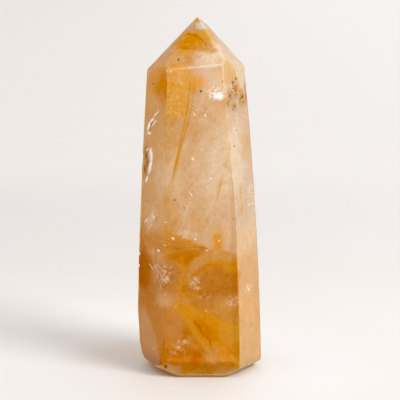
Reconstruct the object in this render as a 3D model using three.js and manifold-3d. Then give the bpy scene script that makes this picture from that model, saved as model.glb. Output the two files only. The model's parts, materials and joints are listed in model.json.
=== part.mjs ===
// Golden healer quartz tower: one natural crystal, ground and polished to a six-sided point that stands on
// its sawn base. It is a single solid, so the group holds one mesh.
// Millimetres, +Z up. The broad front face looks along -Y. The origin is the middle of the bounding box's
// bottom.

import * as THREE from 'three';
import { mergeVertices } from 'three/addons/utils/BufferGeometryUtils.js';
import Module from 'manifold-3d';

const wasm = await Module();
wasm.setup();

// Driving dimensions. Angles are in degrees. A turn is the way a face looks, seen from above: 0 is the
// front, 90 the right. A rise is how far its outward normal points up (or down, when negative).
const TIP_HEIGHT = 110;
const TIP_X = -0.8;
const SHOULDER_HEIGHT = 92;
const BLOCK_WIDTH = 60;
const TOOL_SIZE = 300;

// Each long side is one slow convex curve, ground as a few flats above each other.
// foot and shoulder are its distances from the axis at the base and at the shoulder; belly is how much
// further out it stands half way up.
const FLATS_PER_SIDE = 6;
const SIDES = {
  front: { turn: 0, foot: 13, shoulder: 9.75, belly: 0.45 },
  rightFront: { turn: 60, foot: 17.2, shoulder: 11, belly: 1.3 },
  rightBack: { turn: 120, foot: 16.5, shoulder: 13.1, belly: 0.33 },
  back: { turn: 180, foot: 14.8, shoulder: 11, belly: 0.4 },
  leftBack: { turn: -120, foot: 17.1, shoulder: 14.3, belly: 0.6 },
  leftFront: { turn: -56.5, foot: 16.95, shoulder: 13.55, belly: 0.35 },
};

// The six faces of the point. clearance is how far outside the tip a face passes, so that the
// faces meet in short ridges beside the tip and not all in one point.
const POINT_FACES = [
  { turn: -3, rise: 34, clearance: 0 },
  { turn: 67, rise: 41, clearance: 0 },
  { turn: 125, rise: 36, clearance: 1.7 },
  { turn: 178, rise: 35, clearance: 0.5 },
  { turn: -125, rise: 39, clearance: 0.2 },
  { turn: -68, rise: 40.8, clearance: 0.3 },
];

// The bevels round the base. reach is the distance from the axis to the bevel's lower edge. Those under the
// left corner and the right-front side are so flat that the foot overhangs them, and narrow ones round off
// the left, right and front-left corners.
const BASE_BEVELS = [
  { turn: 0, rise: -50, reach: 11.6 },
  { turn: 55, rise: -57, reach: 12.9 },
  { turn: 90, rise: -30, reach: 17.7 },
  { turn: 120, rise: -45, reach: 15.6 },
  { turn: 180, rise: -45, reach: 13.2 },
  { turn: -120, rise: -45, reach: 15.4 },
  { turn: -95, rise: -11, reach: 17.5 },
  { turn: -90, rise: -38, reach: 15.1 },
  { turn: -74, rise: -67.5, reach: 9.8 },
  { turn: -38, rise: -46, reach: 13.2 },
];

// The heel: a slightly hollow flat that a grinding wheel left across the foot of the left-front side.
// across is measured along a side, from the middle of the face, towards the right.
const HEEL = { across: -2, height: 14.2, wheelRadius: 100, slant: 41, dip: 6.6, facets: 320 };

// Shell-shaped chips knocked out of the left edge and the left-front side, and small nicks lower down.
const CHIPS = [
  { across: -4.2, height: 79, width: 2.4, length: 5.4, depth: 0.4, lean: 28, fineness: 2 },
  { across: -6, height: 75.8, width: 1.7, length: 4.6, depth: 0.3, lean: 20, fineness: 2 },
  { across: -7.5, height: 66.8, width: 5.6, length: 9.6, depth: 0.9, lean: 5, fineness: 2 },
  { across: -7.4, height: 61.2, width: 1.5, length: 3.6, depth: 0.35, lean: 10, fineness: 1 },
  { across: -10.6, height: 36.6, width: 1.4, length: 1, depth: 0.35, lean: 0, fineness: 1 },
  { across: -10.7, height: 32.7, width: 1.4, length: 1.3, depth: 0.4, lean: 0, fineness: 1 },
];

// Iron-stained pits in two short slanting rows at the top of the right-front side.
const PITS = {
  rows: 2,
  perRow: 5,
  startAcross: 2.4,
  startHeight: 91.8,
  stepAcross: 1.1,
  stepDown: 1.9,
  rowGap: -2.1,
  width: 0.9,
  depth: 0.35,
  fineness: 1,
};

const UP = new THREE.Vector3(0, 0, 1);
const radians = THREE.MathUtils.degToRad;

// The unit vector that looks outwards at a turn and a rise.
function outward(turn, rise) {
  const a = radians(turn);
  const e = radians(rise);
  return new THREE.Vector3(Math.sin(a) * Math.cos(e), -Math.cos(a) * Math.cos(e), Math.sin(e));
}

// A closed three.js geometry as a solid.
function solid(geometry, matrix) {
  const bare = geometry.clone().applyMatrix4(matrix);
  bare.deleteAttribute('normal');
  bare.deleteAttribute('uv');
  const merged = mergeVertices(bare);
  return new wasm.Manifold(new wasm.Mesh({
    numProp: 3,
    vertProperties: new Float32Array(merged.attributes.position.array),
    triVerts: new Uint32Array(merged.index.array),
  }));
}

// Grinds away all that lies beyond the plane through a point.
function grindFlat(crystal, normal, point) {
  const centre = point.clone().addScaledVector(normal, TOOL_SIZE / 2);
  const facing = new THREE.Quaternion().setFromUnitVectors(UP, normal);
  const place = new THREE.Matrix4().compose(centre, facing, new THREE.Vector3(1, 1, 1));
  return crystal.subtract(solid(new THREE.BoxGeometry(TOOL_SIZE, TOOL_SIZE, TOOL_SIZE), place));
}

// A point on a long side, at a distance across from the face's middle line and at a height.
function onSide(side, across, height) {
  const t = height / SHOULDER_HEIGHT;
  const reach = THREE.MathUtils.lerp(side.foot, side.shoulder, t) + 4 * side.belly * t * (1 - t);
  const along = outward(side.turn + 90, 0);
  return outward(side.turn, 0).multiplyScalar(reach).addScaledVector(along, across).setZ(height);
}

// How far a long side's normal points up at a height.
function sideRise(side, height) {
  const t = height / SHOULDER_HEIGHT;
  const slope = (side.shoulder - side.foot + 4 * side.belly * (1 - 2 * t)) / SHOULDER_HEIGHT;
  return THREE.MathUtils.radToDeg(Math.atan(-slope));
}

function grindSide(crystal, side) {
  for (let flat = 0; flat < FLATS_PER_SIDE; flat += 1) {
    const height = SHOULDER_HEIGHT * (flat + 0.5) / FLATS_PER_SIDE;
    crystal = grindFlat(crystal, outward(side.turn, sideRise(side, height)), onSide(side, 0, height));
  }
  return crystal;
}

function grindPoint(crystal) {
  const tip = new THREE.Vector3(TIP_X, 0, TIP_HEIGHT);
  for (const face of POINT_FACES) {
    const normal = outward(face.turn, face.rise);
    crystal = grindFlat(crystal, normal, tip.clone().addScaledVector(normal, face.clearance));
  }
  return crystal;
}

function bevelBase(crystal) {
  for (const bevel of BASE_BEVELS) {
    const lowerEdge = outward(bevel.turn, 0).multiplyScalar(bevel.reach);
    crystal = grindFlat(crystal, outward(bevel.turn, bevel.rise), lowerEdge);
  }
  return crystal;
}

// The wheel's axle lies outside the crystal. It runs down and to the left across the side, and dips into
// the face, so that the cut starts at nothing in an arc and is deepest at the left edge.
function grindHeel(crystal) {
  const side = SIDES.leftFront;
  const normal = outward(side.turn, sideRise(side, HEEL.height));
  const across = outward(side.turn + 90, 0);
  const up = new THREE.Vector3().crossVectors(normal, across).normalize();
  const slant = radians(HEEL.slant);
  const dip = radians(HEEL.dip);
  const inFace = across.clone().multiplyScalar(-Math.cos(slant)).addScaledVector(up, -Math.sin(slant));
  const axle = inFace.clone().multiplyScalar(Math.cos(dip)).addScaledVector(normal, -Math.sin(dip));
  const away = normal.clone().multiplyScalar(Math.cos(dip)).addScaledVector(inFace, Math.sin(dip));
  const centre = onSide(side, HEEL.across, HEEL.height).addScaledVector(away, HEEL.wheelRadius);
  const wheel = new THREE.CylinderGeometry(HEEL.wheelRadius, HEEL.wheelRadius, TOOL_SIZE / 2, HEEL.facets);
  const facing = new THREE.Quaternion().setFromUnitVectors(new THREE.Vector3(0, 1, 0), axle);
  const place = new THREE.Matrix4().compose(centre, facing, new THREE.Vector3(1, 1, 1));
  return crystal.subtract(solid(wheel, place));
}

// A shallow hollow in a long side: the cap of an ellipsoid, wide and long on the face and as deep as given.
// It is twice as thick as it is deep, and stands half out of the face.
function scoop(crystal, side, { across, height, width, length, depth, lean, fineness }) {
  const rise = sideRise(side, height);
  const facing = new THREE.Quaternion()
    .setFromAxisAngle(UP, radians(side.turn))
    .multiply(new THREE.Quaternion().setFromAxisAngle(new THREE.Vector3(1, 0, 0), -radians(rise)))
    .multiply(new THREE.Quaternion().setFromAxisAngle(new THREE.Vector3(0, 1, 0), radians(lean)));
  const size = new THREE.Vector3(width / 2, depth, length / 2);
  const place = new THREE.Matrix4().compose(onSide(side, across, height), facing, size);
  return crystal.subtract(solid(new THREE.IcosahedronGeometry(1, fineness), place));
}

function chipLeftEdge(crystal) {
  for (const chip of CHIPS) {
    crystal = scoop(crystal, SIDES.leftFront, chip);
  }
  return crystal;
}

// The pits shrink and swell along each row, so that no two neighbours are alike.
function pitRightFront(crystal) {
  for (let row = 0; row < PITS.rows; row += 1) {
    for (let i = 0; i < PITS.perRow; i += 1) {
      const swell = 1 + 0.35 * Math.sin(2.4 * i + 1.7 * row);
      crystal = scoop(crystal, SIDES.rightFront, {
        across: PITS.startAcross + PITS.stepAcross * i + PITS.rowGap * row,
        height: PITS.startHeight - PITS.stepDown * (i + row * 0.6),
        width: PITS.width * swell,
        length: PITS.width * swell * 1.5,
        depth: PITS.depth * swell,
        lean: 25 - 20 * row,
        fineness: PITS.fineness,
      });
    }
  }
  return crystal;
}

// The finished solid as a geometry whose bounding box stands centred on the origin.
function standOnOrigin(crystal) {
  const { vertProperties, triVerts } = crystal.getMesh();
  const geometry = new THREE.BufferGeometry();
  geometry.setAttribute('position', new THREE.BufferAttribute(new Float32Array(vertProperties), 3));
  geometry.setIndex(new THREE.BufferAttribute(new Uint32Array(triVerts), 1));
  geometry.computeBoundingBox();
  const { min, max } = geometry.boundingBox;
  geometry.translate(-(min.x + max.x) / 2, -(min.y + max.y) / 2, -min.z);
  geometry.computeVertexNormals();
  return geometry;
}

function quartzTower() {
  const blockHeight = TIP_HEIGHT * 1.1;
  const standing = new THREE.Matrix4().makeTranslation(0, 0, blockHeight / 2);
  let crystal = solid(new THREE.BoxGeometry(BLOCK_WIDTH, BLOCK_WIDTH, blockHeight), standing);
  for (const side of Object.values(SIDES)) {
    crystal = grindSide(crystal, side);
  }
  crystal = grindPoint(crystal);
  crystal = bevelBase(crystal);
  crystal = grindHeel(crystal);
  crystal = chipLeftEdge(crystal);
  crystal = pitRightFront(crystal);

  const goldenQuartz = new THREE.MeshStandardMaterial({
    color: 0xd9a866,
    roughness: 0.08,
    metalness: 0,
    flatShading: true,
  });
  const tower = new THREE.Mesh(standOnOrigin(crystal), goldenQuartz);
  tower.name = 'quartz_tower';
  return tower;
}

const object = new THREE.Group();
object.add(quartzTower());

export default object;
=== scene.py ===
import json
from math import cos, pi, radians, sin

import bmesh
import bpy
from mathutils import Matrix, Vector

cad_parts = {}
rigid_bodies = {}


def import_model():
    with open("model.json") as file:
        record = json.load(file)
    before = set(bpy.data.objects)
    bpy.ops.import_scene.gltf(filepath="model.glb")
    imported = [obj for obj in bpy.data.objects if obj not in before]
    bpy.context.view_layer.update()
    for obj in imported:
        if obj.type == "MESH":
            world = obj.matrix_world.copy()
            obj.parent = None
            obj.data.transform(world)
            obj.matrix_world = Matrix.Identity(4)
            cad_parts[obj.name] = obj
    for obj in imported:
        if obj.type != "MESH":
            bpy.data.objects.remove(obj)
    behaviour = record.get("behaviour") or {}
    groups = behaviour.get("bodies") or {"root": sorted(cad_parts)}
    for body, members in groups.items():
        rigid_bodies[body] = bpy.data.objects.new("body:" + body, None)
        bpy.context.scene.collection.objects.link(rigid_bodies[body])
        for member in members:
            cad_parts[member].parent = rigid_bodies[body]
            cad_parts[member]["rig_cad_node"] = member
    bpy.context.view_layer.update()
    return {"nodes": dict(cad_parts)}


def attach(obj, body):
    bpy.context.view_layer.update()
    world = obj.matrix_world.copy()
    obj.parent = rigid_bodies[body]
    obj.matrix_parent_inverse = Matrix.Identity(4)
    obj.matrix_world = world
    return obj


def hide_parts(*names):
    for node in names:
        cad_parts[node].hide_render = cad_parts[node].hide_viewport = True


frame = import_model()

# -------------------------------------------------------------------------------------------------
# The quartz tower. One natural crystal of golden healer quartz, half clear and half milky, ground into
# six long sides, a six-faced point and a bevelled foot. The polish rounded its edges by a third of a
# millimetre, while the broken places on its left edge and its right shoulder kept their sharp rims.
MM = 0.001
EDGE_SOFTENING = 0.30 * MM
EDGE_STEPS = 3
FLAT_ENOUGH = radians(0.4)
GROUND_EDGE = radians(7)
SMOOTH_UNDER = radians(28)
MERGE_DISTANCE = 0.004 * MM
TIP_EDGES_ABOVE = 108 * MM
# The sharp places as boxes in mm: lowest and highest corner.
BROKEN_PLACES = {
    "left_edge_chips": ((-20, -7, 57), (-12, 2, 83)),
    "left_edge_nicks": ((-21, -2, 30), (-17.5, 2, 39)),
    "shoulder_pits": ((8, -7.5, 81.5), (15, 1.6, 93.5)),
}


def only(piece):
    """Selects one piece and makes it the active one, with nothing else selected."""
    bpy.ops.object.select_all(action="DESELECT")
    piece.select_set(True)
    bpy.context.view_layer.objects.active = piece


def in_broken_place(point):
    """Whether a point in metres lies in one of the places that broke and kept their sharp rims."""
    for low, high in BROKEN_PLACES.values():
        if all(low[axis] * MM <= point[axis] <= high[axis] * MM for axis in range(3)):
            return True
    return False


only(frame["nodes"]["quartz_tower"])
bpy.ops.object.duplicate()
tower = bpy.context.active_object
tower.name = "golden_quartz"
del tower["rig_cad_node"]
bpy.ops.object.mode_set(mode="EDIT")
bpy.ops.mesh.select_mode(type="EDGE")
bpy.ops.mesh.select_all(action="SELECT")
bpy.ops.mesh.remove_doubles(threshold=MERGE_DISTANCE)
bpy.ops.mesh.dissolve_limited(angle_limit=FLAT_ENOUGH)
bpy.ops.mesh.select_all(action="DESELECT")
shape = bmesh.from_edit_mesh(tower.data)
for edge in shape.edges:
    middle = (edge.verts[0].co + edge.verts[1].co) / 2
    at_tip = max(vertex.co.z for vertex in edge.verts) > TIP_EDGES_ABOVE
    ground = edge.calc_face_angle(0) > GROUND_EDGE and not at_tip
    edge.select_set(ground and not in_broken_place(middle))
bmesh.update_edit_mesh(tower.data)
softening = {"offset": EDGE_SOFTENING, "offset_type": "WIDTH", "segments": EDGE_STEPS}
bpy.ops.mesh.bevel(**softening, clamp_overlap=False)
bpy.ops.mesh.select_all(action="SELECT")
bpy.ops.mesh.dissolve_degenerate(threshold=MERGE_DISTANCE)
bpy.ops.object.mode_set(mode="OBJECT")
bpy.ops.object.shade_smooth_by_angle(angle=SMOOTH_UNDER)
weighted = tower.modifiers.new("flat_faces", "WEIGHTED_NORMAL")
weighted.keep_sharp = True
bpy.ops.object.modifier_apply(modifier=weighted.name)
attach(tower, "root")
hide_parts("quartz_tower")

# The quartz itself, with iron stain grown in its healed cracks as golden clouds, veils and threads.
# Each mark is a place inside the stone, in mm, and is looked up a little way below the surface, so
# that it shifts where one face meets the next.
CLEARNESS = 0.5
REFRACTION = 1.54
GLOSS = 0.15
GLOSS_TINT = (1.0, 0.72, 0.40, 1.0)
POLISH_ROUGHNESS = 0.16
CURD_ROUGHNESS = 0.06
SKIN_DEPTH = 1.2
HEART_DEPTH = 4.0
MILK_DEPTH = 6 * MM
MILK_REACH = (1.0, 0.65, 0.4)
CLARITY_TINT = (0.98, 0.85, 0.55, 1.0)
CLARITY_LOSS = 20.0
CRACK_WIDTH = 0.06
MARK_DEPTH = -6
MARK_REACH = 14


class Signal:
    """An output of a shader node. Arithmetic on signals and numbers adds Math nodes."""

    def __init__(self, tree, socket=None):
        self.tree = tree
        self.socket = socket

    def node(self, kind, settings=None, inputs=None, output=0):
        """Adds any node: its settings first, then its sockets, by name or number."""
        made = self.tree.nodes.new("ShaderNode" + kind)
        for name, value in (settings or {}).items():
            setattr(made, name, value)
        for name, value in (inputs or {}).items():
            if isinstance(value, Signal):
                self.tree.links.new(value.socket, made.inputs[name])
            else:
                made.inputs[name].default_value = value
        return Signal(self.tree, made.outputs[output])

    def math(self, operation, *values):
        return self.node("Math", {"operation": operation}, dict(enumerate(values)))

    def vector(self, operation, *values, output=0):
        return self.node("VectorMath", {"operation": operation}, dict(enumerate(values)), output)

    def __add__(self, other):
        return self.math("ADD", self, other)

    def __radd__(self, other):
        return self.math("ADD", other, self)

    def __sub__(self, other):
        return self.math("SUBTRACT", self, other)

    def __rsub__(self, other):
        return self.math("SUBTRACT", other, self)

    def __mul__(self, other):
        return self.math("MULTIPLY", self, other)

    def __rmul__(self, other):
        return self.math("MULTIPLY", other, self)

    def __truediv__(self, other):
        return self.math("DIVIDE", self, other)

    def __abs__(self):
        return self.math("ABSOLUTE", self)


def smooth(signal, start, end, most=1.0):
    """Rises softly from 0 where the signal is start to most where it is end."""
    steps = {"interpolation_type": "SMOOTHSTEP"}
    ends = {"From Min": start, "From Max": end, "To Max": most}
    return signal.node("MapRange", steps, {"Value": signal, **ends})


def band(signal, start, end, edge, most=1.0):
    """most between start and end, fading out over edge outside each."""
    return smooth(signal, start - edge, start, most) * smooth(signal, end + edge, end)


def line(signal, at, width, most=1.0):
    """most where the signal is at, and 0 from width away on both sides."""
    return smooth(abs(signal - at), width, width * 0.2, most)


def blend(mask, under, over, how="MIX"):
    """Colour under the mask's zero and over its one. A colour is three numbers or a signal."""
    sockets = {0: mask}
    for name, colour in {6: under, 7: over}.items():
        sockets[name] = colour if isinstance(colour, Signal) else (*colour, 1)
    return mask.node("Mix", {"data_type": "RGBA", "blend_type": how}, sockets, 2)


def times(colour, tint):
    """One colour signal multiplied by another."""
    sockets = {0: 1.0, 6: colour, 7: tint}
    return colour.node("Mix", {"data_type": "RGBA", "blend_type": "MULTIPLY"}, sockets, 2)


def most_of(*signals):
    """The largest of several signals."""
    largest = signals[0]
    for signal in signals[1:]:
        largest = largest.math("MAXIMUM", largest, signal)
    return largest


def least_of(signals):
    """The smallest of several signals."""
    least = None
    for signal in signals:
        least = signal if least is None else least.math("MINIMUM", least, signal)
    return least


def noise(where, size, detail=2.0, roughness=0.5, output=0):
    """Cloudy noise whose lumps are about size mm across."""
    values = {"Vector": where, "Scale": 1 / size, "Detail": detail, "Roughness": roughness}
    return where.node("TexNoise", inputs=values, output=output)


def parts_of(where):
    """The three parts of a place or a direction."""
    return [where.node("SeparateXYZ", inputs={0: where}, output=axis) for axis in range(3)]


def joined(parts):
    """A place made of its three parts."""
    return parts[0].node("CombineXYZ", inputs=dict(enumerate(parts)))


def wander(where, size, amount):
    """The parts of a place, each led astray by up to about amount mm in waves of about size mm."""
    leads = noise(where, size, 5.0, 0.65, "Color")
    parts = enumerate(parts_of(where))
    lead = [leads.node("SeparateColor", inputs={0: leads}, output=axis) for axis in range(3)]
    return [part + (lead[axis] - 0.5) * (2 * amount) for axis, part in parts]


def stretched(where, turn, reach):
    """Places turned about X, Y and Z in degrees, then drawn out along each axis by reach."""
    turned = {"Rotation": tuple(radians(angle) for angle in turn), "Scale": reach}
    return where.node("Mapping", {"vector_type": "TEXTURE"}, {"Vector": where, **turned})


def leaning(parts, degrees):
    """The parts of a place in a frame whose upright axis leans to the left as it goes down."""
    across, depth, height = parts
    lean_cos, lean_sin = cos(radians(degrees)), sin(radians(degrees))
    return across * lean_cos - height * lean_sin, depth, across * lean_sin + height * lean_cos


def egg(where, centre, reach, lean=0):
    """How far a place lies from the centre of an egg shape, where 1 is on its skin."""
    shift = tuple(-part / much for part, much in zip(leaning(centre, lean), reach))
    inside = where.vector("MULTIPLY_ADD", where, tuple(1 / much for much in reach), shift)
    return inside.vector("LENGTH", inside, output="Value")


def cloud(where, centre, reach, firm=0.2, most=1.0):
    """most in the heart of an egg-shaped cloud about centre, 0 beyond its reach in mm."""
    return smooth(egg(where, centre, reach), 1.0, firm, most)


def scatter(frames, eggs, firm=0.4):
    """1 inside any egg: a lean, a middle (across, height), half the width and half the length."""
    nearest = least_of(
        egg(frames[lean], (middle[0], MARK_DEPTH, middle[1]), (width, MARK_REACH, length), lean)
        for lean, middle, width, length in eggs
    )
    return smooth(nearest, 1.0, firm)


def healed_cracks(where, turn, size):
    """Fine curved lines about size mm apart, drawn out three times longer one way."""
    waves = noise(stretched(where, turn, (size, size, size * 3)), 1.0, 2.0, 0.5)
    return line(waves, 0.5, CRACK_WIDTH)


def rays(across, height, tip, side, spread):
    """Fibres that fan out from a tip (across, height) to one side, about spread degrees apart."""
    away = (across - tip[0]) * side
    angle = away.math("ARCTAN2", height - tip[1], away) * (180 / (pi * spread))
    fan = {"W": angle, "Scale": 1.0, "Detail": 3.0, "Roughness": 0.6}
    return angle.node("TexNoise", {"noise_dimensions": "1D"}, fan)


quartz = bpy.data.materials.new("golden_quartz")
quartz.use_nodes = True
shader = quartz.node_tree.nodes["Principled BSDF"]
nodes = Signal(quartz.node_tree)
place = nodes.node("TexCoord", output="Object")
facing = nodes.node("NewGeometry", output="Normal")
spot = place.vector("MULTIPLY", place, (1 / MM,) * 3)
x, y, z = parts_of(spot)
east, south, up = parts_of(facing)


def below(depth):
    """The place that many mm inside the stone, straight in from the surface."""
    return facing.vector("MULTIPLY_ADD", facing, (-depth,) * 3, spot)


# Patterns that run all through the stone, from broad mist to fine grain.
under_skin = below(SKIN_DEPTH)
inside = below(HEART_DEPTH)
mist = noise(inside, 12.0, 3.0, 0.5)
lumps = noise(inside, 8.0, 5.0, 0.65)
curds = noise(under_skin, 2.6, 5.0, 0.62)
ragged = noise(under_skin, 5.0, 5.0, 0.68) - 0.5
specks = noise(spot, 0.9, 3.0, 0.6)
fine = noise(spot, 0.5, 2.0, 0.7)
strands = noise(stretched(under_skin, (0, 12, 0), (1.0, 3.0, 10.0)), 1.3, 4.0, 0.62)
drapes = noise(stretched(inside, (0, 20, 0), (3.0, 6.0, 14.0)), 1.0, 4.0, 0.6)
# Places that wander a little, so that what is drawn on them has uneven outlines.
surface_parts = wander(spot, 1.6, 0.25)
rough_parts = wander(spot, 0.9, 0.3)
surface = joined(surface_parts)
rough = joined(rough_parts)
shallow_parts = wander(under_skin, 5.0, 1.6)
shallow = joined(shallow_parts)
deep_parts = wander(inside, 12.0, 4.0)
deep = joined(deep_parts)
across, height = surface_parts[0], surface_parts[2]
# Which side of the stone a place is on.
front_half = smooth(y, 3, -2)
front = smooth(south, -0.6, -0.82)
right_face = smooth(east, 0.55, 0.8) * smooth(south, 0.1, -0.2)
left_face = smooth(east, -0.45, -0.7) * smooth(south, 0.1, -0.2)

# The milk of the stone: browner in the thick left part, pale peach towards the right, and painted
# paler on faces turned towards the light, as painted light. The left face gets a lighter, warmer
# milk, partly its own tone and partly painted light that lifts its shade.
BROWN_MILK = (0.71, 0.415, 0.175)
TAN_MILK = (0.785, 0.54, 0.33)
PEACH_MILK = (0.835, 0.63, 0.44)
PALE_MILK = (0.9, 0.765, 0.605)
LEFT_MILK_AND_LIGHT = (0.8, 0.5, 0.235)
RIGHT_MILK = (0.69, 0.542, 0.43)
tone_and_painted_light = smooth(deep_parts[0] / 15 + (mist - 0.5) * 1.8 + east * 0.3, -1.05, 0.95)
stone = blend(smooth(tone_and_painted_light, 0, 0.5), BROWN_MILK, TAN_MILK)
stone = blend(smooth(tone_and_painted_light, 0.45, 1.0), stone, PEACH_MILK)
# Painted light: the left face lifted to a lighter, warmer milk, partly its own tone.
stone = blend(left_face * 0.6, stone, LEFT_MILK_AND_LIGHT)
stone = blend(right_face * smooth(z, 42, 52, 0.8), stone, RIGHT_MILK)
stone = blend(right_face * band(z, 89, 110, 5, 0.7), stone, PALE_MILK)
stone = blend(smooth(drapes, 0.52, 0.7, 0.4), stone, PALE_MILK)
stone = blend(smooth(drapes, 0.45, 0.3, 0.4), stone, BROWN_MILK)
PALE_CLOUDS = (
    (0.85, (6.5, -7, 68), (8.5, 12, 17)),
    (0.8, (3, -8, 92), (7, 9, 6)),
    (0.6, (12.3, -6.5, 76), (2.6, 6, 12)),
    (0.5, (-8, -8, 61), (5, 8, 8)),
)
for strength, centre, reach in PALE_CLOUDS:
    stone = blend(cloud(deep, centre, reach, 0.2, strength), stone, PALE_MILK)

# The golden foot. Its upper edge slopes down to the right, and fibres of stain fan out below it.
RIGHT_GOLD = (0.8, 0.5, 0.215)
HONEY = (0.745, 0.405, 0.125)
AMBER = (0.61, 0.245, 0.055)
BROWN_AMBER = (0.50, 0.14, 0.004)
PINK_TAN = (0.545, 0.275, 0.11)
FOOT_HEIGHT = 45.5
foot_line = z - FOOT_HEIGHT + smooth(x, -7, 2, 4.5) + smooth(x, 2, 8, 2.5) + ragged * 5
foot_line = foot_line + (1 - front_half) * (mist - 0.5) * 20
foot = smooth(foot_line, 1.2, -3.0)
foot_tone = blend(smooth(lumps, 0.36, 0.62), HONEY, AMBER)
foot_tone = blend(smooth(foot_line, -3, 1), foot_tone, HONEY)
foot_tone = blend(smooth(strands, 0.46, 0.3, 0.4), foot_tone, BROWN_AMBER)
foot_tone = blend(smooth(curds, 0.52, 0.72, 0.3), foot_tone, PINK_TAN)
stone = blend(foot * (1 - right_face * 0.75), stone, foot_tone)
stone = blend(right_face * smooth(z, 46, 30, 0.6), stone, RIGHT_GOLD)

# Clouds of stain and of milk: colour, strength, centre, reach, firmness.
FOOT_TAN = (0.67, 0.335, 0.135)
GOLD = (0.78, 0.375, 0.06)
LIGHT_GOLD = (0.86, 0.5, 0.11)
SWATH_TAN = (0.755, 0.445, 0.17)
ORANGE = (0.94, 0.42, 0.006)
FOOT_ROSE = (0.70, 0.43, 0.24)
FOOT_LIGHT = (0.86, 0.50, 0.12)
FOOT_PALE = (0.82, 0.55, 0.33)
FOOT_SAND = (0.80, 0.50, 0.22)
SHEET_GOLD = (0.86, 0.48, 0.10)
CLEAR_WHITE = (0.94, 0.82, 0.66)
CLOUDS = (
    (HONEY, 0.6, (-9, -9, 80), (8, 9, 9), 0.1),
    (GOLD, 0.9, (-12.6, -6, 91.5), (5.6, 7, 7.5), 0.3),
    (ORANGE, 0.75, (-0.8, -9, 91.2), (4.2, 5, 4.0), 0.2),
    (SHEET_GOLD, 0.7, (-6.5, -9, 94.5), (4.5, 5, 3.0), 0.2),
    (GOLD, 0.75, (-4.9, -8, 101.0), (5.2, 6, 4.4), 0.4),
    (LIGHT_GOLD, 0.7, (3.0, -8, 101.0), (3.6, 6, 3.0), 0.2),
    (GOLD, 0.75, (-3.0, -9, 98.6), (2.2, 6, 5.0), 0.2),
    (TAN_MILK, 0.8, (14.5, -4, 71.5), (5, 7, 8.5), 0.2),
    (HONEY, 0.4, (-15, -6, 44), (6, 7, 4.5), 0.2),
    (CLEAR_WHITE, 0.35, (-15, -6, 47), (4, 5, 3.6), 0.1),
    (CLEAR_WHITE, 0.4, (-4.2, -12, 45.3), (4.4, 5, 1.9), 0.1),
    (BROWN_AMBER, 1.0, (-17.4, -4, 32.0), (4.6, 9, 8.4), 0.55),
    (FOOT_ROSE, 0.8, (-8.3, -12.5, 24.0), (3.4, 4, 3.6), 0.2),
    (FOOT_LIGHT, 0.7, (8.2, -12.5, 34.4), (3.4, 4, 2.4), 0.2),
    (BROWN_MILK, 0.5, (-1.5, -10, 77), (7.5, 6, 4.5), 0.1),
    (BROWN_MILK, 0.45, (-8.5, -9, 75), (4.5, 6, 5.5), 0.1),
    (BROWN_MILK, 0.4, (14.5, -4, 71), (5, 7, 6), 0.2),
    (PINK_TAN, 0.9, (-9.8, -12, 33), (5.0, 6, 5.6), 0.4),
    (PINK_TAN, 0.8, (-10.5, -11, 27), (4.6, 6, 4.8), 0.3),
    (PINK_TAN, 0.5, (0.5, -12, 30.5), (4.0, 6, 2.4), 0.2),
    (FOOT_TAN, 0.9, (-8.5, -12.5, 18), (6.0, 6, 8), 0.4),
    (SWATH_TAN, 0.8, (8.5, -12.5, 15.5), (5, 5, 7.5), 0.2),
    (SWATH_TAN, 0.6, (7.5, -12.5, 21.5), (6, 5, 3.0), 0.2),
    (FOOT_TAN, 0.6, (3, -12, 24.5), (7, 7, 2.6), 0.2),
    (FOOT_PALE, 0.75, (-10.2, -12, 24.9), (3.8, 5, 4.2), 0.0),
    (FOOT_SAND, 0.8, (8.0, -12.5, 24.8), (5.8, 5, 3.8), 0.2),
    (GOLD, 0.85, (6, 9, 82), (8, 8, 13), 0.3),
    (ORANGE, 0.7, (-5, 10, 99), (8, 8, 6), 0.4),
    (AMBER, 0.7, (-6, 13, 36), (9, 8, 7), 0.3),
    (PINK_TAN, 0.7, (6, 13, 22), (7, 8, 8), 0.3),
)
for colour, strength, centre, reach, firm in CLOUDS:
    stone = blend(cloud(shallow, centre, reach, firm, strength), stone, colour)

# The fibrous bundle under the foot's edge, which narrows to a tip at its right.
FOLD_AMBER = (0.62, 0.21, 0.006)
BUNDLE_TIP = (1.8, 40.9)
fan = rays(across, height, BUNDLE_TIP, -1, 7.0)
rise_line = height - BUNDLE_TIP[1] + (across - BUNDLE_TIP[0]) * 0.42
fall_line = height - BUNDLE_TIP[1] - (across - BUNDLE_TIP[0]) * 0.2
bundle = smooth(rise_line, 0.5, -0.2) * smooth(fall_line, -1.2, 0.4)
bundle = bundle * band(across, -12, 1.6, 4) * front_half
stone = blend(bundle * smooth(fan, 0.3, 0.55, 0.8), stone, HONEY)
stone = blend(bundle * smooth(fan, 0.5, 0.66, 0.6), stone, AMBER)
beside_tip = band(across, -9, 1.4, 1.5) * front_half
stone = blend(line(rise_line - ragged * 3, -0.3, 1.0, 0.8) * beside_tip, stone, GOLD)
lower_edge = line(fall_line + ragged * 4, -0.3, 1.5) * beside_tip * smooth(fan, 0.3, 0.6, 0.8)
stone = blend(lower_edge, stone, AMBER)
stone = blend(cloud(shallow, (-2.4, -12, 37.4), (6.8, 6, 3.0), 0.3, 0.8), stone, FOLD_AMBER)

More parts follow.
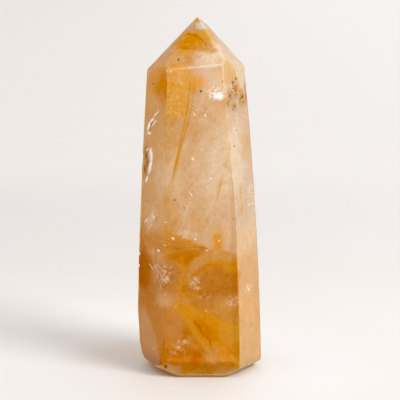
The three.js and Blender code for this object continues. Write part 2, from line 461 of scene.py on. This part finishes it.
# A golden column right of it, and the arc that sweeps over a brown dome.
COLUMN_GOLD = (0.83, 0.42, 0.06)
DARK_ORANGE = (0.68, 0.22, 0.003)
FOOT_BROWN = (0.61, 0.275, 0.085)
column = cloud(shallow, (5.6, -12, 42.5), (3.2, 5, 7.5), 0.0) * smooth(strands, 0.1, 0.45)
stone = blend(column, stone, COLUMN_GOLD)
ring = egg(shallow, (6.4, 0, 29.6), (9.6, 1000, 7.5)) + ragged * 0.5
arch = smooth(across, -4.5, -1.5) * smooth(height, 27, 31) * front
stone = blend(arch * band(ring, 1.06, 1.3, 0.16, 0.9), stone, SWATH_TAN)
stone = blend(arch * band(ring, 0.8, 0.98, 0.16, 0.6) * smooth(across, 0, 4), stone, GOLD)
stone = blend(smooth(ring, 0.85, 0.5, 0.6) * front, stone, FOOT_BROWN)
stone = blend(cloud(surface, (11.6, -12, 32.4), (1.6, 5, 2.6), 0.2, 0.5), stone, DARK_ORANGE)

# The point: an orange veil with a clean upper edge and a clear window above it, and milk at its
# lower right. A white painted highlight runs along the ridge below it, and a paler one along the cap
# front's right border.
VEIL_GOLD = (1.0, 0.54, 0.09)
VEIL_LIGHT = (1.0, 0.62, 0.2)
VEIL_AMBER = (1.0, 0.46, 0.012)
CAP_TAN = (0.62, 0.39, 0.20)
WHITE = (1.0, 0.96, 0.90)
VEIL_TOP = 106.5
RIDGE_HEIGHT = 95.92
RIDGE_RISE = 0.1055
veil_edge = smooth(height - across * 0.12, VEIL_TOP, VEIL_TOP - 0.25)
veil_foot = smooth(height + ragged * 9 + across * 0.2, 97.6, 101.8)
veil = cloud(shallow, (-1.2, -6, 104.2), (9.6, 11, 8.4), 0.25) * veil_foot * veil_edge
bend = across + 3
fold_line = height - 105.3 + bend * bend * 0.12
wisps = noise(stretched(under_skin, (0, 70, 0), (1.0, 2.0, 4.0)), 1.4, 4.0, 0.65)
veil_tone = blend(smooth(curds, 0.4, 0.62), VEIL_AMBER, ORANGE)
veil_tone = blend(smooth(across + ragged * 5, -2.0, 2.5, 0.9), veil_tone, VEIL_GOLD)
veil_tone = blend(smooth(fold_line, -0.3, 0.2, 0.8), veil_tone, VEIL_GOLD)
stone = blend(veil, stone, veil_tone)
cap_fan = rays(across + ragged * 1.5, height, (-0.8, 113.5), 1, 5.0)
stone = blend(veil * smooth(cap_fan, 0.5, 0.66, 0.3), stone, DARK_ORANGE)
stone = blend(veil * smooth(curds, 0.52, 0.66, 0.5) * smooth(across, -5, 0), stone, VEIL_LIGHT)
stone = blend(veil * smooth(curds, 0.42, 0.3, 0.3), stone, FOLD_AMBER)
stone = blend(veil * smooth(wisps, 0.46, 0.62, 0.6) * smooth(across, -2, 3), stone, VEIL_LIGHT)
stone = blend(veil * smooth(specks, 0.52, 0.64, 0.5), stone, VEIL_LIGHT)
fold = line(fold_line, 0, 0.45, 0.7) * band(across, -4.4, 1.9, 0.6) * front
stone = blend(fold, stone, FOLD_AMBER)
milky_corner = cloud(shallow, (3.2, -9, 98.0), (6.4, 7, 3.4), 0.1) * smooth(wisps, 0.32, 0.52)
stone = blend(milky_corner, stone, CLEAR_WHITE)
window = cloud(surface, (0.4, -2.5, 107.8), (2.2, 3, 1.6), 0.5)
stone = blend(window * (0.5 + wisps * 0.6), stone, WHITE)
stone = blend(cloud(spot, (-0.8, -1, 110), (2.0, 3, 2.2), 0.3, 0.7), stone, ORANGE)
cap_left = smooth(up, 0.25, 0.45) * smooth(east, -0.25, -0.45)
stone = blend(cap_left * smooth(z, 104, 98, 0.8), stone, CAP_TAN)
# Painted highlights along the ridge, golden near its middle, and along the cap front's right border.
ridge = line(z - x * RIDGE_RISE, RIDGE_HEIGHT, 0.5) * front * band(x, -9.5, 6.6, 0.3)
ridge_gold = smooth(abs(x + 1.5), 2.0, 0.8, 0.5)
stone = blend(ridge * (smooth(x, -9, -3, 0.5) + 0.35) * (1 - ridge_gold), stone, WHITE)
cap_border_highlight = line(x + z * 0.548, 60.6, 0.5, 0.6) * band(z, 97.5, 107, 1) * front
stone = blend(cap_border_highlight, stone, CLEAR_WHITE)

# The stain under the shoulder: deep amber on the left face, a lighter golden sheet on the front.
LEFT_AMBER = (0.71, 0.25, 0.0)
SHEET_LIGHT = (0.97, 0.68, 0.34)
amber_patch = cloud(shallow, (-10.0, -8, 90.2), (5.2, 8, 7.6), 0.35)
stone = blend(amber_patch * smooth(east, -0.3, -0.6) * front_half, stone, LEFT_AMBER)
streak = rough_parts[0] + 3.0 + smooth(z, 92, 50, 6.6)
gold_sheet = smooth(streak + ragged, 0.5, -0.7) * smooth(height + across * 0.03, 80.2, 81.6)
gold_sheet = gold_sheet * smooth(height + ragged * 4, 97, 93) * front
stone = blend(gold_sheet * smooth(curds + (lumps - 0.5), 0.2, 0.45), stone, SHEET_GOLD)
sheet_top = gold_sheet * smooth(z, 83, 89)
stone = blend(sheet_top * smooth(curds, 0.5, 0.6, 0.85), stone, SHEET_LIGHT)
stone = blend(gold_sheet * smooth(curds, 0.46, 0.36, 0.6), stone, GOLD)
stone = blend(gold_sheet * smooth(lumps + (curds - 0.5), 0.46, 0.6, 0.8), stone, GOLD)
stone = blend(sheet_top * smooth(wisps, 0.5, 0.64, 0.4), stone, PEACH_MILK)
stone = blend(gold_sheet * smooth(specks, 0.5, 0.62, 0.4), stone, SHEET_LIGHT)

# The long golden streak, two threads that run together as they go down to the left.
THREAD_GOLD = (0.80, 0.44, 0.06)
THREAD_SHADE = (0.64, 0.31, 0.02)
streak_reach = smooth(z, 55, 67) * smooth(z, 96, 93) * front
streak_glow = line(streak, 0.4, 1.0, 0.6) * streak_reach * smooth(strands, 0.25, 0.5)
stone = blend(streak_glow, stone, THREAD_GOLD)
streak_sides = most_of(line(streak, 0, 0.36), line(streak - smooth(z, 62, 92, 1.2), 0.2, 0.3))
stone = blend(streak_sides * streak_reach * band(z, 66, 88, 8, 0.65), stone, THREAD_SHADE)

# Golden threads in the front of the stone: a lean, the middle (across, height), half the width and
# half the length.
FAINT_GOLD = (0.8, 0.5, 0.12)
FOOT_THREAD = (0.80, 0.40, 0.04)
LEANS = (0, 13, 35, -25, -38)
frames = {lean: joined(leaning(rough_parts, lean)) for lean in LEANS}
GOLD_THREADS = (
    (13, (-9.2, 60.0), 0.3, 4.0),
    (0, (-4.6, 86.0), 0.35, 4.5),
    (0, (13.0, 52.3), 0.4, 2.6),
    (0, (-1.6, 107.4), 0.3, 2.0),
    (-38, (4.8, 51.2), 0.3, 1.6),
    (-25, (11.0, 92.6), 0.4, 2.6),
    (-25, (12.6, 86.9), 0.5, 4.2),
)
FAINT_THREADS = (
    (0, (9.2, 72.0), 0.3, 2.2),
    (13, (8.2, 67.6), 0.4, 4.0),
    (13, (6.0, 59.0), 0.75, 6.5),
    (0, (-0.3, 48.5), 0.8, 5.0),
    (0, (12.5, 57.0), 0.5, 3.4),
    (13, (-9.9, 57.0), 0.3, 1.6),
    (35, (-7.8, 22.0), 0.8, 3.6),
)
DARK_THREADS = (
    (35, (3.9, 40.0), 0.25, 2.4),
    (0, (3.1, 102.4), 1.1, 0.25),
)
FOOT_THREADS = (
    (0, (-5.2, 36.0), 0.9, 5.5),
    (0, (-5.6, 27.5), 0.75, 6.5),
)
worn = smooth(specks, 0.34, 0.54)
stone = blend(scatter(frames, FOOT_THREADS, 0.0) * (worn * 0.3 + 0.6), stone, FOOT_THREAD)
stone = blend(scatter(frames, FAINT_THREADS) * (worn * 0.5 + 0.4), stone, FAINT_GOLD)
stone = blend(scatter(frames, GOLD_THREADS) * (worn * 0.4 + 0.5), stone, THREAD_GOLD)
stone = blend(scatter(frames, DARK_THREADS) * (worn * 0.4 + 0.4), stone, THREAD_SHADE)

# The tent of golden sheets in the foot, which opens down to the right from one point.
BRIGHT_GOLD = (0.82, 0.42, 0.085)
DOME_ORANGE = (0.67, 0.24, 0.03)
DOME_BROWN = (0.59, 0.17, 0.008)
TENT_TOP = (-5.6, 23.2)
tent_fan = rays(across, height, TENT_TOP, 1, 5.0)
slope = height + across * 0.42
bent = across + 5
lower_line = height - 20 + bent * 1.782 - bent * bent * 0.0567
opening = band(across, -6.5, 12, 3.0) * smooth(slope, 22.2, 21) * front
ribs = smooth(tent_fan, 0.35, 0.62, 0.6) + 0.15
stone = blend(opening * smooth(lower_line, -3, 2, 0.7) * smooth(across, 13, 7), stone, GOLD)
inner = opening * smooth(lower_line, 2, 4) * smooth(slope, 19, 17) * smooth(across, 7, 2, 0.8)
stone = blend(inner, stone, DARK_ORANGE)
upper_sheet = opening * smooth(slope, 22.0, 20.6) * smooth(slope, 15.0, 19.5) * ribs
stone = blend(upper_sheet, stone, BRIGHT_GOLD)
stone = blend(opening * band(lower_line, -0.4, 2.2, 2.2) * ribs, stone, BRIGHT_GOLD)
stone = blend(opening * smooth(tent_fan, 0.6, 0.72, 0.15), stone, LIGHT_GOLD)
seam = line(shallow_parts[2] + shallow_parts[0] * 1.42, 15.85, 0.9, 0.7)
seam = seam * band(across, -1.4, 4.2, 0.8)
stone = blend(seam * front, stone, BROWN_AMBER)
dome_tone = blend(smooth(curds, 0.4, 0.62), DOME_ORANGE, AMBER)
stone = blend(cloud(shallow, (-4.0, -13, 5.8), (8.0, 7, 5.8), 0.5, 0.85), stone, dome_tone)
dome_heart = cloud(surface, (-1.5, -13, 5.6), (4.0, 6, 3.6), 0.3, 0.8) * smooth(curds, 0.62, 0.4)
stone = blend(dome_heart, stone, DOME_BROWN)
stone = blend(cloud(shallow, (3.8, -13, 7.4), (3.4, 6, 4.4), 0.0, 0.9), stone, SWATH_TAN)
stone = blend(cloud(surface, (10.9, -12, 12.5), (1.9, 5, 9.5), 0.4, 0.6), stone, LIGHT_GOLD)

# The front face's upright edges: the left one darkened by painted shade, so it is hardly seen; on the
# right, painted shade high up, a dark line below it and a golden painted highlight low down.
LEFT_EDGE_PAINTED_SHADE = (0.94, 0.88, 0.78)
RIGHT_EDGE_PAINTED_SHADE = (0.95, 0.90, 0.86)
upright = band(up, -0.15, 0.15, 0.15) * front_half
left_edge = band(east, -0.66, -0.2, 0.08) * upright * band(z, 46, 90, 4)
stone = blend(left_edge, stone, LEFT_EDGE_PAINTED_SHADE, "MULTIPLY")
right_edge = band(east, 0.08, 0.8, 0.06) * upright
stone = blend(right_edge * smooth(z, 60, 66), stone, RIGHT_EDGE_PAINTED_SHADE, "MULTIPLY")
# A golden painted highlight low on the right edge.
stone = blend(right_edge * band(z, 6, 30, 6, 0.9), stone, BRIGHT_GOLD)
stone = blend(right_edge * band(z, 42, 60, 3, 0.6), stone, BROWN_AMBER)

# The gold at the right shoulder, and the brown stain round the pits below it.
RUST_AMBER = (0.50, 0.17, 0.01)
RUST = (0.14, 0.045, 0.012)
SHOULDER_GOLD = (0.78, 0.50, 0.18)
STAIN_BROWN = (0.60, 0.36, 0.10)
slant = x + z * 0.34
gold_side = smooth(across, 6.9, 7.6) * smooth(slant + ragged, 42.4, 41.6)
gold_side = gold_side * cloud(surface, (8.2, -8, 94), (4, 6, 5.0), 0.6)
stone = blend(gold_side * right_face * (0.35 + curds), stone, SHOULDER_GOLD)
gold_line = line(slant + ragged * 0.8, 42.3, 0.5, 0.6) * right_face * band(z, 83, 96, 1.5)
stone = blend(gold_line, stone, LIGHT_GOLD)
STAINS = (
    ((9.3, -8.2, 87.2), (2.8, 3.8, 3.4)),
    ((8.6, -9.6, 85.2), (2.6, 3.4, 2.6)),
    ((10.8, -5.4, 88.6), (2.4, 3.4, 5.0)),
    ((10.4, -6.9, 83.6), (2.2, 3.2, 2.2)),
    ((12.9, -2.2, 85.6), (2.0, 3.4, 4.2)),
)
stain = most_of(*[cloud(rough, centre, reach, 0.1) for centre, reach in STAINS])
stone = blend(stain * smooth(specks, 0.28, 0.5), stone, STAIN_BROWN)
stone = blend(stain * smooth(specks, 0.55, 0.68), stone, RUST_AMBER)
stone = blend(stain * smooth(noise(spot, 0.75, 1.0), 0.6, 0.66, 0.85), stone, RUST)
rim = cloud(surface, (14.3, 0.4, 88), (1.1, 2.0, 7.0), 0.4, 0.75)
stone = blend(rim * smooth(curds, 0.3, 0.55), stone, RUST_AMBER)

# Painted light: the lowest part of the front is painted brighter, as if lit from the bevel below it,
# with painted glow at its lower left and lower right and a little at the foot of the right face.
BEVEL_PAINTED_GLOW = (0.84, 0.53, 0.30)
SWATH_PAINTED_GLOW = (1.0, 0.63, 0.30)
FOOT_PAINTED_GLOW = (1.3, 1.38, 1.6)
RIGHT_FOOT_PAINTED_GLOW = (1.12, 1.07, 1.0)
stone = blend(smooth(height + ragged, 8.5, 4.5) * front, stone, FOOT_PAINTED_GLOW, "MULTIPLY")
stone = blend(cloud(surface, (-8.2, -13, 2.6), (3.6, 6, 2.2), 0.3, 0.9), stone, BEVEL_PAINTED_GLOW)
stone = blend(cloud(surface, (9.5, -13, 1.2), (8.5, 6, 3.2), 0.0, 0.75), stone, SWATH_PAINTED_GLOW)
stone = blend(smooth(z, 9, 4) * right_face, stone, RIGHT_FOOT_PAINTED_GLOW, "MULTIPLY")

# The amber runs on round the left edge to the paler, hollow heel. The bevel round the foot, where it
# faces down, is painted pale: painted light that lifts the shade under the stone.
ARC_AMBER = (0.635, 0.285, 0.06)
BEVEL_PAINTED_LIGHT = (0.86, 0.55, 0.28)
HEEL_TAN = (0.68, 0.37, 0.17)
left_half = smooth(x, -11, -12) * front_half
heel_arc = x + 12.4 + (z - 4) * (z - 4) * 0.0185
foot_side = smooth(z, 24, 17) * left_half
stone = blend(foot_side * smooth(lumps, 0.2, 0.5), stone, ARC_AMBER)
stone = blend(foot_side * smooth(z, 13, 6) * smooth(curds, 0.3, 0.5), stone, DOME_ORANGE)
heel = smooth(heel_arc + ragged * 0.6, 0.25, -0.25) * foot_side
stone = blend(heel, stone, HEEL_TAN)
# Painted light: faces turned down are painted pale.
stone = blend(smooth(up, -0.3, -0.5, 0.85), stone, BEVEL_PAINTED_LIGHT)

# Curds and grain all through the stone, lighter and darker than what they lie in.
CURD_LIGHT = (1.10, 1.15, 1.28)
CURD_SHADE = (0.94, 0.87, 0.72)
SPECK_LIGHT = (1.06, 1.10, 1.18)
SPECK_SHADE = (0.93, 0.88, 0.80)
GRAIN_LIGHT = (1.09, 1.09, 1.09)
GRAIN_SHADE = (0.91, 0.89, 0.86)
stone = blend(smooth(curds, 0.54, 0.74), stone, CURD_LIGHT, "MULTIPLY")
stone = blend(smooth(curds, 0.48, 0.3), stone, CURD_SHADE, "MULTIPLY")
stone = blend(smooth(specks, 0.58, 0.72), stone, SPECK_LIGHT, "MULTIPLY")
stone = blend(smooth(specks, 0.42, 0.28), stone, SPECK_SHADE, "MULTIPLY")
grain = blend(smooth(fine, 0.2, 0.8), GRAIN_SHADE, GRAIN_LIGHT)
stone = times(stone, grain)

# Healed cracks glitter in patches: pale lines and dots, partly the cracks' own paleness and partly
# painted glints. Centre and reach of each.
GLITTER_PLACES = (
    ((0.8, -11, 82), (5, 4, 4)),
    ((-14.3, -7.2, 48.8), (3.6, 5, 3.6)),
    ((-16.5, -4, 46.5), (3, 4, 3.5)),
    ((-13, -8, 38.2), (6, 6, 1.8)),
    ((-11.5, -11, 32.5), (5.0, 6, 6.5)),
    ((-1.2, -13, 30), (2.4, 4, 3.2)),
    ((1.4, -13, 26), (3.2, 4, 1.6)),
    ((-5.0, -13, 12.0), (3.0, 4, 2.2)),
    ((-6.8, -13, 8.8), (3.0, 4, 2.2)),
    ((-3.2, -12, 44.6), (4.2, 4, 1.8)),
    ((-9.3, -10.5, 94.6), (2.0, 3, 1.0)),
    ((5.4, -11, 87.5), (3.0, 3, 2.4)),
    ((15.8, -3, 55), (2.6, 5, 6)),
    ((10, -13, 24.5), (2.6, 4, 2.6)),
    ((14, -6, 27), (3, 5, 3)),
    ((0.6, -3, 107.6), (1.8, 3, 1.4)),
    ((0, 11, 40), (12, 6, 14)),
    ((-4, 10, 80), (8, 6, 12)),
)
crack_lines = most_of(healed_cracks(spot, (0, 50, 0), 1.3), healed_cracks(spot, (0, -60, 0), 1.1))
dots = smooth(noise(spot, 0.6, 2.0, 0.6), 0.66, 0.72, 0.9)
sparkle = most_of(crack_lines * smooth(specks, 0.5, 0.58), dots)
glitter_heart = least_of(egg(spot, centre, reach) for centre, reach in GLITTER_PLACES)
glitter = smooth(glitter_heart, 1.0, 0.4) * smooth(curds, 0.4, 0.56)
# Painted glints: the glittering patches a little paler, and pale crack lines in them.
stone = blend(glitter * smooth(specks, 0.5, 0.7, 0.18), stone, CLEAR_WHITE)
faint_lines = most_of(glitter, smooth(lumps, 0.42, 0.6, 0.5) * smooth(z, 46, 52))
stone = blend(faint_lines * crack_lines * 0.35, stone, CLEAR_WHITE)
# A painted highlight: a white flash where a crack catches the light, with a fainter glow round it.
flash_glow = cloud(rough, (5.0, -10.9, 88.0), (3.6, 4, 2.8), 0.0) * smooth(specks, 0.42, 0.58, 0.7)
flash = most_of(cloud(rough, (5.7, -10.9, 87.2), (2.2, 3, 1.7), 0.2), flash_glow)
stone = blend(flash, stone, WHITE)

# Single bright flakes in the front of the stone: partly their own white, partly painted glints.
FLAKES = (
    (35, (4.8, 88.2), 0.3, 1.6),
    (-38, (5.0, 88.3), 0.35, 1.5),
    (0, (5.6, 87.3), 0.85, 0.6),
    (-38, (6.3, 88.0), 0.35, 1.0),
    (-38, (-8.1, 43.9), 0.5, 0.9),
    (0, (-12.7, 39.6), 0.8, 0.6),
    (0, (-10.4, 41.7), 1.0, 0.2),
    (-38, (-1.3, 43.6), 0.4, 0.7),
    (0, (2.2, 40.2), 0.45, 0.3),
    (0, (5.9, 43.2), 0.35, 0.45),
    (0, (-10.4, 48.9), 0.8, 0.22),
    (0, (-14.1, 49.4), 0.45, 0.7),
    (35, (-16.6, 47.7), 0.22, 1.6),
    (-38, (-2.0, 68.3), 0.26, 1.1),
    (0, (3.5, 62.3), 0.6, 0.25),
    (-38, (-2.6, 57.5), 0.18, 1.8),
    (-38, (-15.0, 33.8), 0.2, 1.4),
    (0, (2.1, 21.3), 0.4, 0.4),
    (0, (-14.3, 8.0), 0.3, 0.3),
    (-38, (15.1, 26.9), 0.25, 0.8),
    (-38, (-1.6, 81.8), 0.18, 1.1),
    (-38, (1.7, 81.2), 0.3, 0.8),
    (35, (-10.5, 26.5), 0.18, 1.4),
)
flakes = scatter(frames, FLAKES, 0.2) * front_half * smooth(specks, 0.32, 0.5)

# The conchoidal chips on the left edge shine silver white, partly their own frost and partly painted
# highlight, with painted shade in the steps along them.
STEP_PAINTED_SHADE = (0.17, 0.12, 0.085)
CHIP_LIGHTS = (
    (35, (-13.2, 81.3), 0.25, 2.0),
    (35, (-14.6, 79.0), 0.45, 1.6),
    (13, (-15.6, 77.0), 0.5, 2.0),
    (0, (-15.5, 74.9), 0.8, 0.7),
    (35, (-13.9, 78.2), 0.28, 1.9),
    (0, (-15.0, 68.2), 0.85, 3.0),
    (13, (-15.2, 64.8), 0.6, 3.2),
    (13, (-16.4, 60.6), 0.45, 1.5),
    (35, (-16.2, 69.6), 0.3, 0.9),
    (0, (-19.0, 36.6), 0.6, 0.9),
    (0, (-19.2, 32.8), 0.6, 0.7),
)
CHIP_SHADES = (
    (0, (-16.7, 69.7), 0.4, 0.6),
    (0, (-16.5, 67.6), 0.55, 1.8),
    (0, (-16.1, 65.4), 0.42, 1.8),
    (0, (-16.9, 63.7), 0.42, 1.9),
    (0, (-15.6, 68.4), 0.2, 1.2),
)
CHIP_RELIEF = 0.2 * MM
CHIP_RIPPLES = 0.5
steps = noise(stretched(spot, (0, 10, 0), (0.6, 0.6, 2.6)), 1.0, 3.0, 0.55)
chipped = scatter(frames, CHIP_LIGHTS) * smooth(steps, 0.32, 0.42) * left_half
edge_nicks = smooth(east, -0.94, -0.975) * smooth(specks, 0.6, 0.66, 0.7)
# Painted shade in the steps of the chips.
stone = blend(scatter(frames, CHIP_SHADES) * left_half * 0.75, stone, STEP_PAINTED_SHADE)
cap_haze = cloud(shallow, (4.8, -6, 101.0), (2.8, 5, 4.2), 0.0, 0.2) * smooth(wisps, 0.35, 0.6)
# Where the stone turns frosted white: the painted glints and highlights, flakes, nicks and haze.
shine = most_of(
    glitter * sparkle * 0.2,
    glitter * dots * 0.8,
    cap_haze,
    flash * smooth(specks, 0.34, 0.54),
    flakes * 0.9,
    chipped,
    edge_nicks,
)

# Dark grains caught just under the polish and the pits with ore in them: centre and size in mm.
GRAINS = (
    ((-6.3, -8.8, 97.9), 0.45), ((0.4, -10.8, 88.7), 0.5), ((-14.0, -4.2, 90.2), 0.45),
    ((10.6, -9.3, 71.8), 0.42), ((11.2, -7.3, 76.4), 0.3), ((-7.6, -12.4, 55.7), 0.34),
    ((-4.7, -12.4, 53.3), 0.3), ((-16.3, -3.8, 53.8), 0.3), ((-12.5, -11.5, 3.8), 0.6),
    ((-10.6, -13.7, 3.5), 0.8), ((-2.0, -10.9, 84.0), 0.28), ((6.9, -10.8, 91.6), 0.3),
    ((-0.5, -5.5, 101.2), 0.28), ((-9.4, -11.0, 84.0), 0.22),
    ((10.1, -5.7, 92.1), 0.26), ((11.0, -3.9, 91.7), 0.34), ((10.4, -5.5, 90.9), 0.3),
    ((11.1, -4.6, 89.4), 0.38), ((10.2, -6.1, 89.1), 0.32), ((11.0, -5.1, 88.1), 0.34),
    ((9.9, -7.0, 88.0), 0.28), ((13.0, -1.4, 86.0), 0.5), ((13.4, -1.7, 84.3), 0.38),
    ((12.2, -2.9, 87.6), 0.24), ((9.2, -8.3, 87.0), 0.42), ((10.6, -6.7, 83.8), 0.3),
    ((4.0, 10.8, 70.0), 0.45), ((-9.0, 10.0, 30.0), 0.5), ((16.0, 4.0, 40.0), 0.4),
)
grain_skin = least_of(egg(rough, at, (size, size * 1.6, size * 1.2)) for at, size in GRAINS)
stone = blend(smooth(grain_skin, 1.0, 0.35, 0.85), stone, RUST)

nodes.tree.links.new(stone.socket, shader.inputs["Base Color"])
ripples = {"Strength": CHIP_RIPPLES, "Distance": CHIP_RELIEF, "Height": steps * chipped}
relief = nodes.node("Bump", inputs=ripples)
nodes.tree.links.new(relief.socket, shader.inputs["Normal"])
dullness = POLISH_ROUGHNESS + smooth(curds, 0.5, 0.8, CURD_ROUGHNESS)
nodes.tree.links.new(dullness.socket, shader.inputs["Roughness"])
shader.inputs["IOR"].default_value = REFRACTION
shader.inputs["Specular IOR Level"].default_value = GLOSS
shader.inputs["Specular Tint"].default_value = GLOSS_TINT
shader.inputs["Transmission Weight"].default_value = CLEARNESS
shader.inputs["Subsurface Weight"].default_value = 1.0
shader.inputs["Subsurface Radius"].default_value = MILK_REACH
shader.inputs["Subsurface Scale"].default_value = MILK_DEPTH

# Where glints, highlights, flakes, chips, nicks and haze are painted, the stone turns a frosted silver
# white that throws the light back whole: partly the broken faces' and healed cracks' own frost, partly
# painted highlight.
FROST_ROUGHNESS = 0.35
polished = Signal(nodes.tree, shader.outputs["BSDF"])
frost = {"Base Color": (*WHITE, 1), "Roughness": FROST_ROUGHNESS, "Normal": relief}
frosted = nodes.node("BsdfPrincipled", inputs=frost)
mixed = nodes.node("MixShader", inputs={0: shine, 1: polished, 2: frosted})
absorbing = nodes.node("VolumeAbsorption", inputs={"Color": CLARITY_TINT, "Density": CLARITY_LOSS})
result = nodes.tree.nodes["Material Output"]
nodes.tree.links.new(mixed.socket, result.inputs["Surface"])
nodes.tree.links.new(absorbing.socket, result.inputs["Volume"])
tower.data.materials.clear()
tower.data.materials.append(quartz)

# -------------------------------------------------------------------------------------------------
# The floor it stands on: a pale matt board with the faintest marbling, a little greyer to the left,
# with light and shade painted on it round the stone. It is no part of the tower.
FLOOR_RADIUS = 6
FLOOR_SIDES = 96
BOARD_LEFT = (0.705, 0.685, 0.665)
BOARD_RIGHT = (0.785, 0.77, 0.757)
BOARD_ROUGHNESS = 0.65
MARBLING = {"Scale": 18.0, "Detail": 5.0, "Distortion": 1.5}
NEAR_PAINTED_LIGHT = (1.07, 1.07, 1.07)
FAR_PAINTED_SHADE = (0.985, 0.985, 0.99)
MIDDLE_PAINTED_SHADE = (0.9, 0.9, 0.905)
CONTACT_PAINTED_SHADOW = (0.94, 0.9, 0.86)
SHADOW_END_PAINTED_LIGHT = (1.06, 1.06, 1.06)
COOL_SIDE_PAINTED_LIGHT = (1.04, 1.075, 1.115)


def near(where, x, y, radius):
    """1 where the board's place is (x, y), fading out to 0 a radius in metres away."""
    away = where.vector("DISTANCE", where, (x, y, 0), output="Value")
    return smooth(away, radius, 0.0)


bpy.ops.mesh.primitive_circle_add(vertices=FLOOR_SIDES, radius=FLOOR_RADIUS, fill_type="NGON")
floor = bpy.context.active_object
floor.name = "floor"
board = bpy.data.materials.new("pale_board")
board.use_nodes = True
shader = board.node_tree.nodes["Principled BSDF"]
nodes = Signal(board.node_tree)
place = nodes.node("TexCoord", output="Object")
across = nodes.node("SeparateXYZ", inputs={0: place}, output=0)
marbling = nodes.node("TexNoise", inputs={"Vector": place, **MARBLING})
tone = blend(smooth(across + (marbling - 0.5) * 0.12, -0.32, 0.32), BOARD_LEFT, BOARD_RIGHT)
along = nodes.node("SeparateXYZ", inputs={0: place}, output=1)
reach = nodes.vector("LENGTH", place, output="Value")
# Painted light and shade on the board: a pool of light round the stone, painted shade far back and in
# a band behind it, deeper to the left.
tone = blend(smooth(reach, 0.5, 0.04), tone, NEAR_PAINTED_LIGHT, "MULTIPLY")
tone = blend(smooth(along, 0.0, 0.5), tone, FAR_PAINTED_SHADE, "MULTIPLY")
middle = smooth(along, 0.03, 0.16) * smooth(along, 0.42, 0.24)
middle = middle * (0.35 + smooth(across, 0.2, -0.1, 0.65))
tone = blend(middle, tone, MIDDLE_PAINTED_SHADE, "MULTIPLY")
# The stone throws a golden glow on the board. Under its left side a painted shadow deepens the shade,
# the shadow's far end is painted lighter, and at its right the board is painted a little cooler and
# lighter, which takes the glow back.
tone = blend(near(place, -0.029, 0.012, 0.022), tone, CONTACT_PAINTED_SHADOW, "MULTIPLY")
tone = blend(near(place, -0.035, 0.052, 0.045), tone, SHADOW_END_PAINTED_LIGHT, "MULTIPLY")
tone = blend(smooth(reach, 0.075, 0.02) * smooth(across, 0.0, 0.02), tone, COOL_SIDE_PAINTED_LIGHT, "MULTIPLY")
nodes.tree.links.new(tone.socket, shader.inputs["Base Color"])
shader.inputs["Roughness"].default_value = BOARD_ROUGHNESS
floor.data.materials.append(board)

# -------------------------------------------------------------------------------------------------
# Soft studio light: a pale surround, a little brighter to the right, and one very wide light from
# the front right that throws the soft shadow back to the left.
SURROUND_LOW = (0.87, 0.87, 0.87)
SURROUND_HIGH = (0.88, 0.88, 0.88)
SURROUND_LEFT = (0.94, 0.915, 0.895)
SURROUND_RIGHT = (1.01, 0.995, 0.985)
KEY_COLOUR = (1.0, 0.985, 0.965)
KEY_STRENGTH = 1.8
KEY_SPREAD = radians(26)
KEY_FROM = Vector((0.78, -0.56, 0.76))
studio = bpy.data.worlds.new("studio")
studio.use_nodes = True
shader = studio.node_tree.nodes["Background"]
nodes = Signal(studio.node_tree)
direction = nodes.node("TexCoord", output="Generated")
sideways = nodes.node("SeparateXYZ", inputs={0: direction}, output=0)
upwards = nodes.node("SeparateXYZ", inputs={0: direction}, output=2)
level = blend(smooth(upwards, 0.05, 0.8), SURROUND_LOW, SURROUND_HIGH)
tone = blend(smooth(sideways, -1, 1), SURROUND_LEFT, SURROUND_RIGHT)
studio.node_tree.links.new(times(level, tone).socket, shader.inputs["Color"])
bpy.context.scene.world = studio
bpy.ops.object.light_add(type="SUN", location=KEY_FROM)
key = bpy.context.active_object
key.name = "key_light"
key.data.energy = KEY_STRENGTH
key.data.angle = KEY_SPREAD
key.data.color = KEY_COLOUR
key.rotation_euler = KEY_FROM.to_track_quat("Z", "Y").to_euler()

# -------------------------------------------------------------------------------------------------
# The camera: a long lens a little above the tower's middle, looking slightly down. The picture's
# darkest tones are let sink a little, as polished stone needs.
LOOK_AT = Vector((0.12, -0.89, 53.6)) * MM
CAMERA_DISTANCE = 458 * MM
CAMERA_PITCH = radians(10.5)
SENSOR_WIDTH = 36
LENS_PER_WIDTH = 3.6775
DEEPEST_BLACK = 0.045
towards_camera = Vector((0, -cos(CAMERA_PITCH), sin(CAMERA_PITCH)))
bpy.ops.object.camera_add(location=LOOK_AT + towards_camera * CAMERA_DISTANCE)
camera = bpy.context.active_object
camera.rotation_euler = towards_camera.to_track_quat("Z", "Y").to_euler()
camera.data.sensor_width = SENSOR_WIDTH
camera.data.lens = SENSOR_WIDTH * LENS_PER_WIDTH
bpy.context.scene.camera = camera
grade = bpy.context.scene.view_settings
grade.view_transform = "Standard"
grade.use_curve_mapping = True
grade.curve_mapping.black_level = (DEEPEST_BLACK,) * 3
grade.curve_mapping.update()
